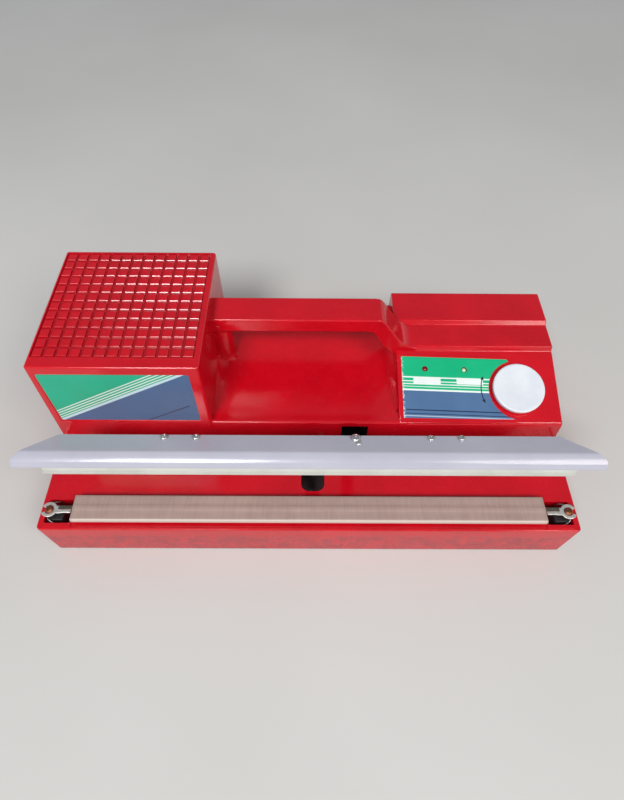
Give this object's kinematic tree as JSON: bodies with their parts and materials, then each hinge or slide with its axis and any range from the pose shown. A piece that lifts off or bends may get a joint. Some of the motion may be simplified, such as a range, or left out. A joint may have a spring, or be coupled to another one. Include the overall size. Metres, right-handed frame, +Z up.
{
  "type": "impulse heat sealer",
  "caption": "Benchtop impulse heat sealer: moulded red housing with carry handle, hinged spring-open press bar over a cloth-covered heating strip, timer knob and indicator lamps.",
  "frame": {"origin": "middle of the footprint, on the plane the feet stand on", "axes": "+X to the right along the heating strip as the user sees it, +Y away from the user, +Z up"},
  "size_m": [0.3218, 0.1638, 0.105],
  "materials": {
    "red_shell": "glossy",
    "sheet_steel": "satin",
    "screw_steel": "satin",
    "foot_rubber": "matte",
    "label_film": "satin",
    "panel_film": "satin",
    "lamp_red": "glossy",
    "lamp_green": "glossy",
    "knob_white": "satin",
    "shaft_steel": "satin",
    "pot_case": "matte",
    "circuit_board": "satin",
    "relay_blue": "satin",
    "capacitor_sleeve": "satin",
    "core_iron": "satin",
    "coil_copper": "satin",
    "coil_yellow": "satin",
    "lever_steel": "satin",
    "bar_paint": "glossy",
    "holder_alloy": "satin",
    "silicone": "matte",
    "strap_dark": "satin",
    "switch_black": "satin",
    "plunger_red": "satin",
    "spring_wire": "satin",
    "heater_alloy": "satin",
    "heating_alloy": "satin",
    "glass_cloth": "satin",
    "lug_nickel": "satin",
    "stud_brass": "satin",
    "carrier_black": "matte",
    "lead_red": "satin",
    "lead_black": "satin",
    "gland_rubber": "matte"
  },
  "bodies": {
    "base": {"upper_shell": "red_shell", "bottom_plate": "sheet_steel", "front_label": "label_film", "panel_label": "panel_film", "power_lamp": "lamp_red", "warm_lamp": "lamp_green", "timer_pot": "pot_case", "timer_nut": "shaft_steel", "board_bracket": "sheet_steel", "timer_board": "circuit_board", "timer_relay": "relay_blue", "timer_capacitor": "capacitor_sleeve", "transformer_core": "core_iron", "primary_coil": "coil_copper", "secondary_coil": "coil_yellow", "transformer_seat": "sheet_steel", "transformer_bolt_left": "screw_steel", "transformer_bolt_right": "screw_steel", "pivot_bracket": "sheet_steel", "pivot_axle": "shaft_steel", "switch_bracket": "sheet_steel", "switch_body": "switch_black", "return_spring": "spring_wire", "heater_bar": "heater_alloy", "heating_band": "heating_alloy", "cover_cloth": "glass_cloth", "secondary_lead_left": "lead_red", "secondary_lead_right": "lead_black", "cord_gland": "gland_rubber", "foot_front_left": "foot_rubber", "base_screw_front_left": "screw_steel", "foot_front_right": "foot_rubber", "base_screw_front_right": "screw_steel", "foot_back_left": "foot_rubber", "base_screw_back_left": "screw_steel", "foot_back_right": "foot_rubber", "base_screw_back_right": "screw_steel", "hairpin_spring_left": "spring_wire", "hairpin_spring_right": "spring_wire"},
    "press": {"lever_arm": "lever_steel", "cross_yoke": "lever_steel", "press_bar": "bar_paint", "silicone_holder": "holder_alloy", "silicone_strip": "silicone", "bar_screw_1": "screw_steel", "bar_screw_2": "screw_steel", "bar_screw_3": "screw_steel", "bar_screw_4": "screw_steel", "strap_screw": "screw_steel", "strap_nut": "screw_steel", "striker_strap": "strap_dark"},
    "timer": {"timer_knob": "knob_white", "timer_shaft": "shaft_steel"},
    "plunger": {"switch_plunger": "plunger_red"},
    "terminal_left": {"terminal_block_left": "carrier_black", "terminal_stud_left": "stud_brass", "terminal_lug_left": "lug_nickel"},
    "terminal_right": {"terminal_block_right": "carrier_black", "terminal_stud_right": "stud_brass", "terminal_lug_right": "lug_nickel"}
  },
  "joints": [
    {"name": "press_hinge", "type": "hinge", "parent": "base", "child": "press", "pos_m": [0.002, 0.0253, 0.0253], "axis": [1, 0, 0], "range_deg": [0, 20], "stiffness_Nm_per_rad": 1.6, "springref_deg": -20.05, "deforming": ["return_spring"]},
    {"name": "timer_turn", "type": "hinge", "parent": "base", "child": "timer", "pos_m": [0.132, 0.00208, 0.05848], "axis": [0, -0.3036, 0.9528], "range_deg": [-135, 135]},
    {"name": "plunger_slide", "type": "slide", "parent": "base", "child": "plunger", "axis": [0, 0, -1], "range_m": [0, 0.0012]},
    {"name": "left_tension", "type": "slide", "parent": "base", "child": "terminal_left", "axis": [-1, 0, 0], "range_m": [0, 0.001], "stiffness_N_per_m": 800},
    {"name": "right_tension", "type": "slide", "parent": "base", "child": "terminal_right", "axis": [1, 0, 0], "range_m": [0, 0.001], "stiffness_N_per_m": 800}
  ],
  "couplings": [
    {"joint": "plunger_slide", "follows": "press_hinge", "m_per_rad": 0.003437}
  ]
}
